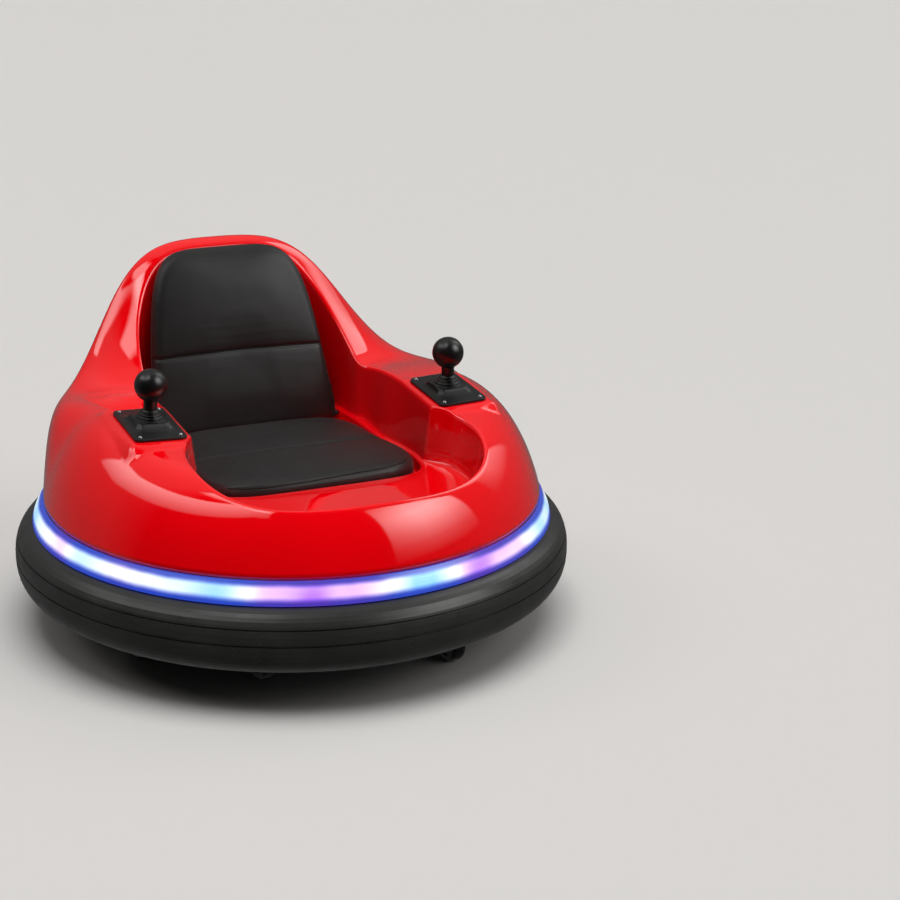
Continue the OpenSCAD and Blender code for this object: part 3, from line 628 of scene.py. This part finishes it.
def restForm():
    rings = []
    for inset, depth in rest["rows"]:
        x, z = restOutline(inset)
        back = wallY(x, z)
        front = np.minimum(restFaceY(z) + rest["start"], back - rest["edge"])
        rings.append(np.stack([x, mix(front, back, depth), z], -1) * mm)
    midZ = cockpit["panZ"] + rest["h"] * rest["midShare"]

    def middle(depth):
        return 0, mix(restFaceY(midZ) + rest["start"], rest["backY"], depth) * mm, midZ * mm

    return loft("rest_pad", rings, middle(1), middle(rest["crown"]))


def readPoints(obj):
    points = np.empty(len(obj.data.vertices) * 3)
    obj.data.vertices.foreach_get("co", points)
    return points.reshape(-1, 3)


# Shift of each point when the cover is blown up between its pinned points
def blowUp(obj, start, held, pressure):
    group = obj.vertex_groups.new(name="pin")
    for i, weight in enumerate(held):
        if weight > 0:
            group.add([i], float(weight), "REPLACE")
    cloth = obj.modifiers.new("filling", "CLOTH")
    for key, value in filling.items():
        setattr(cloth.settings, key, value)
    cloth.settings.uniform_pressure_force = pressure
    cloth.settings.effector_weights.gravity = 0
    cloth.collision_settings.use_collision = False
    cloth.point_cache.frame_start = 1
    cloth.point_cache.frame_end = lastFrame
    for number in range(1, lastFrame + 1):
        scene.frame_set(number)
    shift = readPoints(obj.evaluated_get(bpy.context.evaluated_depsgraph_get())) - start
    obj.modifiers.remove(cloth)
    obj.vertex_groups.clear()
    return shift


# Wrinkles from the simulation are averaged out of the swelling, which stays
def evenOut(obj, shift, held, rounds):
    ends = np.empty(len(obj.data.edges) * 2, dtype=int)
    obj.data.edges.foreach_get("vertices", ends)
    a, b = ends.reshape(-1, 2).T
    count = len(shift)
    degree = np.bincount(np.concatenate([a, b]), minlength=count)
    for _ in range(rounds):
        sums = [np.bincount(a, s[b], count) + np.bincount(b, s[a], count) for s in shift.T]
        near = np.stack(sums, -1) / degree[:, None]
        shift = mix(shift, near, evenShare) * (1 - held)[:, None]
    return shift


def swell(obj, facts, pinned):
    bpy.context.view_layer.objects.active = obj
    remesh = obj.modifiers.new("even", "REMESH")
    remesh.mode = "VOXEL"
    remesh.voxel_size = facts["voxel"] * mm
    remesh.use_smooth_shade = True
    bpy.ops.object.modifier_apply(modifier="even")
    start = readPoints(obj)
    held = pinned(start / mm)
    shift = blowUp(obj, start, held, facts["pressure"])
    far = np.linalg.norm(shift, axis=1)
    print(obj.name, "swells up to", round(float(far.max()) / mm, 1), "mm")
    cap = facts["cap"] * mm
    limit = cap * np.tanh(far / cap) / np.maximum(far, 1e-9)
    shift = shift * limit[:, None] * np.array(facts["share"])
    shift = evenOut(obj, shift, held, facts["smoothing"])
    obj.data.vertices.foreach_set("co", (start + shift).ravel())
    scene.frame_set(1)
    smooth = obj.modifiers.new("fine", "SUBSURF")
    smooth.levels = 1
    bpy.ops.object.modifier_apply(modifier="fine")
    obj.data.polygons.foreach_set("use_smooth", [True] * len(obj.data.polygons))


# A seam pulls the cover in: a steep valley that fades into the roll beside it
def carve(obj, distance, way, depth, width):
    points = readPoints(obj)
    gap = np.abs(distance(points / mm))
    steep = valley["steep"] * np.exp(-(gap / width) ** 2)
    gentle = valley["gentle"] * np.exp(-gap / (valley["wider"] * width))
    points += np.array(way) * (depth * (steep + gentle))[:, None] * mm
    obj.data.vertices.foreach_set("co", points.ravel())
    obj.data.update()


def onSurface(obj, starts, way):
    tree = BVHTree.FromObject(obj, bpy.context.evaluated_depsgraph_get())
    hits = [tree.ray_cast(Vector(p), Vector(way))[0] for p in starts]
    return [hit for hit in hits if hit is not None]


# Height of the piping along the seat's front face
def pipeZ(x):
    middle, rise, width = seat["pipe"]
    return middle + rise * np.tanh(x / width)


def restSeam(x):
    return rest["seamZ"] - rest["seamBow"] * (x / rest["w"]) ** 2


# Distances from the seams in mm, far off where the seam doesn't run
def seatSeamGap(points):
    top = points[:, 2] > seat["footZ"] + seatHeight(points[:, 1]) * seat["topShare"]
    return np.where(top, points[:, 1] - seat["seamY"], farOff)


def seatPipeGap(points):
    face = (points[:, 1] < -seat["pipeY"]) | (np.abs(points[:, 0]) > seat["pipeX"])
    ahead = face & (points[:, 1] < -seat["pipeEnd"])
    return np.where(ahead, points[:, 2] - pipeZ(points[:, 0]), farOff)


def restSeamGap(points):
    front = points[:, 1] < restFaceY(points[:, 2]) + rest["frontDepth"]
    return np.where(front, points[:, 2] - restSeam(points[:, 0]), farOff)


def footPins(points, footZ, hold):
    return np.clip((footZ + hold[0] - points[:, 2]) / hold[1], 0, 1)


def seatPins(points):
    low = footPins(points, seat["footZ"], seat["footHold"])
    inset, fade = seat["rearHold"]
    rear = np.clip((points[:, 1] - seat["back"] + inset) / fade, 0, 1) * seat["rearShare"]
    cross = (np.abs(seatSeamGap(points)) < seat["seamHold"]) * 1.0
    front = (np.abs(seatPipeGap(points)) < seat["pipeHold"]) * 1.0
    return np.maximum.reduce([low, rear, cross, front])


def restPins(points):
    low = footPins(points, cockpit["panZ"], rest["footHold"])
    back = wallY(points[:, 0], points[:, 2])
    share, fade = rest["backHold"]
    thick = back - restFaceY(points[:, 2])
    behind = np.clip((points[:, 1] - back + share * thick) / fade, 0, 1)
    cross = (np.abs(restSeamGap(points)) < rest["seamHold"]) * 1.0
    return np.maximum.reduce([behind, low, cross])


seatPad = link(seatForm(), "car", materials["cushion"])
swell(seatPad, seat, seatPins)
carve(seatPad, seatSeamGap, (0, 0, -1), *seat["seamCarve"])
carve(seatPad, seatPipeGap, (0, 1, 0), *seat["pipeCarve"])
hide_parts("seat_cushion")

restPad = link(restForm(), "car", materials["cushion"])
swell(restPad, rest, restPins)
carve(restPad, restSeamGap, (0, 1, 0), *rest["seamCarve"])
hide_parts("back_cushion")

# Threads and piping: half length, points along it, radius, where its rays start and their way. They
# are the real stitching and piping, made darker than the cover as painted shade of the seam valleys
seams = {
    "seat_cross_seam": (seatPad, 132, 70, 0.6, lambda x: (x, seat["seamY"], 400), (0, 0, -1)),
    "seat_front_piping": (seatPad, 122, 90, 0.8, lambda x: (x, -300, pipeZ(x)), (0, 1, 0)),
    "rest_cross_seam": (restPad, 122, 70, 0.6, lambda x: (x, 50, restSeam(x)), (0, 1, 0)),
}
for name, (cover, half, count, radius, start, way) in seams.items():
    starts = [[v * mm for v in start(x)] for x in np.linspace(-half, half, count)]
    thread = tube(name, onSurface(cover, starts, way), radius * mm, 6)
    link(thread, "car", seamThreadAndShade)
print("cushions done", len(seatPad.data.polygons), len(restPad.data.polygons))


# Consoles: plate with a flared square base, folded boot and four screws on each side
console = {
    "t": 3.5, "corner": 8, "edge": 0.9, "bevel": 0.3, "cornerSteps": 8, "turns": 64,
    # half width, half length, corner radius, height
    "base": (
        (27.5, 34, 10, 3.5), (25.4, 30.5, 9.6, 4.1), (23.8, 27.4, 9.2, 5.4), (22.6, 25, 8.8, 7.2),
        (21.8, 23.2, 8.4, 9.2), (21.4, 22.2, 8, 10.3), (20.8, 21.4, 7.6, 10.9), (19.6, 20, 7, 11.2),
    ),
}
boot = {
    "z": 10.8, "flange": 21.6, "neck": 9.2,
    # radius and height of each fold
    "folds": ((17.6, 3.1), (14.5, 3.0), (11.8, 2.8)),
    # share of a fold's height, and inset there
    "foldRows": (
        (0, 1.3), (0.12, 1.0), (0.3, 0.25), (0.5, 0), (0.7, 0.15), (0.86, 0.7), (0.95, 1.6),
    ),
    # inset and rise
    "flangeRows": ((1, 0), (0, 0.3), (0, 0.9), (0.5, 1.3), (2.6, 1.5)),
    "neckRows": ((-0.4, 0.2), (0, 0.8), (0.6, 1.4)),
}
sleeve = {"r": 8.4, "low": 19.0, "high": 37.6}
# Dome-headed with a hexagonal recess: each row's share of the radius, rise in radii, and whether
# it is six-sided
screw = {
    "inset": 7.6, "r": 2.6, "sides": 24, "recess": 0.1,
    "rows": ((1, 0, 0), (1, 0.12, 0), (0.9, 0.38, 0), (0.68, 0.56, 0), (0.5, 0.62, 0),
             (0.46, 0.6, 1), (0.42, 0.15, 1)),
}


def roundedRect(w, l, r, z):
    ring = []
    steps = console["cornerSteps"]
    for cx, cy, start in ((1, 1, 0), (-1, 1, 90), (-1, -1, 180), (1, -1, 270)):
        for k in range(steps + 1):
            a = math.radians(start + 90 * k / steps)
            x, y = cx * (w - r) + r * math.cos(a), cy * (l - r) + r * math.sin(a)
            ring.append((x * mm, y * mm, z * mm))
    return ring


def spun(name, rows):
    turns = np.linspace(0, 2 * math.pi, console["turns"], endpoint=False)
    rings = [[(r * math.cos(a) * mm, r * math.sin(a) * mm, z * mm) for a in turns] for r, z in rows]
    return loft(name, rings, (0, 0, rows[0][1] * mm), (0, 0, rows[-1][1] * mm))


# Sets a piece on the levelled seat of a console
def mount(piece, side, material):
    piece.data.transform(
        Matrix.Translation((side * pad["x"] * mm, pad["y"] * mm, (pad["z"] + pad["gap"]) * mm))
        @ Matrix.Rotation(-side * pad["roll"], 4, "Y")
        @ Matrix.Rotation(pad["pitch"], 4, "X")
    )
    return link(piece, "car", material)


def makePlate(side, label):
    w, l = pad["w"] / 2, pad["l"] / 2
    t, r, e, b = console["t"], console["corner"], console["edge"], console["bevel"]
    rows = ((b, r, 0), (0, r, b), (0, r, t - e), (e * b, r, t - e * b), (e, r - 0.4, t))
    rings = [roundedRect(w - inset, l - inset, corner, z) for inset, corner, z in rows]
    rings += [roundedRect(*row) for row in console["base"]]
    top = console["base"][-1][3]
    piece = loft("console_plate_" + label, rings, (0, 0, 0), (0, 0, top * mm))
    shade = piece.modifiers.new("edges", "WEIGHTED_NORMAL")
    shade.keep_sharp = True
    mount(piece, side, materials["console"])
    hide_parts("joystick_plate_" + label)


def makeBoot(side, label):
    z = boot["z"]
    rows = [(boot["flange"] - inset, z + rise) for inset, rise in boot["flangeRows"]]
    z = rows[-1][1]
    for radius, height in boot["folds"]:
        rows += [(radius - inset, z + height * share) for share, inset in boot["foldRows"]]
        z += height
    rows += [(boot["neck"] - inset, z + rise) for inset, rise in boot["neckRows"]]
    piece = spun("folded_boot_" + label, rows)
    mount(piece, side, materials["boot"])
    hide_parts("joystick_boot_" + label)


# Sleeve of the lever: rounded ends and a trace of a waist
def makeSleeve(side, label):
    r, low, high = sleeve["r"], sleeve["low"], sleeve["high"]
    waist = (r - 0.15, mix(low, high, 0.5))
    rows = [(r - 0.5, low), (r, low + 0.6), waist, (r, high - 1.5), (r - 0.2, high)]
    piece = spun("lever_sleeve_" + label, rows)
    mount(piece, side, materials["lever"])
    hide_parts("joystick_lever_" + label)


def screwRings(x, y, z):
    r, sides = screw["r"], screw["sides"]
    sixth = math.pi / 3
    rings = []
    for share, rise, hexed in screw["rows"]:
        ring = []
        for a in (2 * math.pi * k / sides for k in range(sides)):
            flat = math.cos(sixth / 2) / math.cos(a % sixth - sixth / 2) if hexed else 1
            out = share * r * flat
            point = (x + out * math.cos(a), y + out * math.sin(a), z + rise * r)
            ring.append([v * mm for v in point])
        rings.append(ring)
    return rings


def makeScrews(side, label):
    name = "plate_screws_" + label
    dx, dy = pad["w"] / 2 - screw["inset"], pad["l"] / 2 - screw["inset"]
    z = console["t"]
    made = bmesh.new()
    for x, y in ((-dx, -dy), (-dx, dy), (dx, -dy), (dx, dy)):
        middle = (x * mm, y * mm, (z + screw["recess"] * screw["r"]) * mm)
        single = loft("screw", screwRings(x, y, z), (x * mm, y * mm, z * mm), middle)
        made.from_mesh(single.data)
        bpy.data.objects.remove(single)
    data = bpy.data.meshes.new(name)
    made.to_mesh(data)
    made.free()
    mount(bpy.data.objects.new(name, data), side, screwSteel)


for side, label in ((1, "left"), (-1, "right")):
    makePlate(side, label)
    makeBoot(side, label)
    makeSleeve(side, label)
    makeScrews(side, label)
print("consoles done")


# Studio: a pale floor and backdrop, and a room by direction. It is dark in front of the car and
# pale behind it, with a softbox at the front right, a narrow one at the back right, a strip high
# at the left and a long slanting softbox under that. Each has its power, then profiles of
# (degrees, share) by azimuth, from the front towards +X, and by elevation
studio = {
    "floor": "#c1bfbd", "wall": "#d6d4d1", "reach": 13.0, "height": 9.0, "sides": 96,
    "fill": 2.6, "fillAngle": 44, "fillTilt": 8, "tint": (1, 0.99, 0.98, 1),
}
room = {
    "around": (
        0.3,
        ((-180, 1.0), (-112, 0.7), (-90, 0.03), (18, 0.02), (76, 0.6), (180, 1.0)),
        ((-40, 0.5), (0, 0.4), (30, 0.5), (48, 1.0), (90, 1.0)),
    ),
    "front_right": (
        3.8,
        ((24, 0.0), (25.5, 0.4), (46, 1.0), (58, 1.0), (71, 0.65), (73, 0.0)),
        (
            (8, 0.0), (16, 0.14), (24, 0.45), (31, 0.8), (38, 1.0), (46, 0.75), (52, 0.4),
            (53.5, 0.0),
        ),
    ),
    "back_right": (
        1.65,
        ((90, 0.0), (93, 0.4), (104, 1.0), (118, 1.0), (120, 0.0)),
        ((12, 0.0), (26, 0.4), (36, 1.0), (58, 1.0), (61, 0.0)),
    ),
    "top_left": (
        2.0,
        ((-106, 0.0), (-100, 1.0), (-44, 1.0), (-38, 0.0)),
        ((64, 0.0), (67, 1.0), (78, 1.0), (83, 0.0)),
    ),
    "left": (
        2.05,
        ((-136, 0.0), (-133, 1.0), (-52, 1.0), (-38, 0.8), (-36, 0.0)),
        ((-12, 0.0), (-10, 0.3), (0, 0.75), (6.5, 1.0), (8.5, 0.0)),
    ),
}
# Middle of the slanting softbox: its elevation at two azimuths
slant = ((-118, 40), (-46, 64))


def degreesOf(tree, operation, *values):
    angle = add(tree, "Math", dict(enumerate(values)), operation=operation).outputs[0]
    return add(tree, "Math", {0: angle}, operation="DEGREES").outputs[0]


def rampOver(tree, value, stops):
    low, high = stops[0][0], stops[-1][0]
    rows = [((x - low) / (high - low), share) for x, share in stops]
    return ramp(tree, spread(tree, value, 0, 1, low, high), rows)


def makeRoom():
    world = bpy.data.worlds.new("studio")
    world.use_nodes = True
    tree = world.node_tree
    way = add(tree, "SeparateXYZ", {"Vector": add(tree, "TexCoord").outputs["Generated"]}).outputs
    ahead = add(tree, "Math", {0: way["Y"], 1: -1.0}, operation="MULTIPLY").outputs[0]
    azimuth = degreesOf(tree, "ARCTAN2", way["X"], ahead)
    elevation = degreesOf(tree, "ARCSINE", way["Z"])
    (fromA, lowE), (toA, highE) = slant
    middle = spread(tree, azimuth, lowE, highE, fromA, toA)
    slanted = add(tree, "Math", {0: elevation, 1: middle}, operation="SUBTRACT").outputs[0]
    total = 0.0
    for name, (power, across, upward) in room.items():
        rise = slanted if name == "left" else elevation
        factors = {0: rampOver(tree, azimuth, across), 1: rampOver(tree, rise, upward)}
        share = add(tree, "Math", factors, operation="MULTIPLY").outputs[0]
        terms = {0: share, 1: power, 2: total}
        total = add(tree, "Math", terms, operation="MULTIPLY_ADD").outputs[0]
    back = tree.nodes["Background"]
    back.inputs["Color"].default_value = studio["tint"]
    tree.links.new(total, back.inputs["Strength"])
    scene.world = world


def makeStage():
    reach, count = studio["reach"], studio["sides"]
    turns = [2 * math.pi * k / count for k in range(count)]
    base, brink = [
        [(reach * math.sin(a), reach * math.cos(a), z) for a in turns]
        for z in (0, studio["height"])
    ]
    sides = [(k, (k + 1) % count, count + (k + 1) % count, count + k) for k in range(count)]
    floor = meshFrom("studio_floor", base, [tuple(range(count))], False)
    wall = meshFrom("studio_wall", base + brink, sides)
    paper, _, shader = newMaterial("Studio_Paper")
    put(shader, Base_Color=linear(studio["floor"]), Roughness=0.8, Specular_IOR_Level=0.2)
    glow, _, shader = newMaterial("Studio_Backdrop")
    put(shader, Base_Color=(0, 0, 0, 1), Specular_IOR_Level=0.0)
    put(shader, Emission_Color=linear(studio["wall"]), Emission_Strength=1.0)
    floor.visible_glossy = False
    wall.visible_diffuse = False
    wall.visible_glossy = False
    wall.visible_shadow = False
    for obj, material in ((floor, paper), (wall, glow)):
        obj.data.materials.append(material)
        scene.collection.objects.link(obj)


# Even light from above, as from a white ceiling, which is too broad to show as a reflection
def makeFill():
    data = bpy.data.lights.new("ceiling_fill", "SUN")
    data.energy = studio["fill"]
    data.angle = math.radians(studio["fillAngle"])
    lamp = bpy.data.objects.new("ceiling_fill", data)
    lamp.rotation_euler = (math.radians(studio["fillTilt"]), 0, 0)
    lamp.visible_glossy = False
    scene.collection.objects.link(lamp)


makeRoom()
makeStage()
makeFill()

# The photo's camera: place and farthest distance in metres, turns in degrees, lens in mm
photoView = {
    "place": (-0.8693, -2.2797, 1.0287), "heading": 25.6385, "pitch": 18.3967, "roll": 1.0363,
    "lens": 79.2, "sensor": 36, "far": 60,
}


def makeCamera():
    data = bpy.data.cameras.new("photo_camera")
    data.sensor_width = photoView["sensor"]
    data.lens = photoView["lens"]
    data.clip_end = photoView["far"]
    camera = bpy.data.objects.new("photo_camera", data)
    heading, pitch, roll = [math.radians(photoView[key]) for key in ("heading", "pitch", "roll")]
    level = math.cos(pitch)
    way = Vector((math.sin(heading) * level, math.cos(heading) * level, -math.sin(pitch)))
    camera.location = photoView["place"]
    turn = way.to_track_quat("-Z", "Y").to_matrix().to_4x4() @ Matrix.Rotation(roll, 4, "Z")
    camera.rotation_euler = turn.to_euler()
    scene.collection.objects.link(camera)
    scene.camera = camera


makeCamera()
scene.view_settings.view_transform = "Standard"
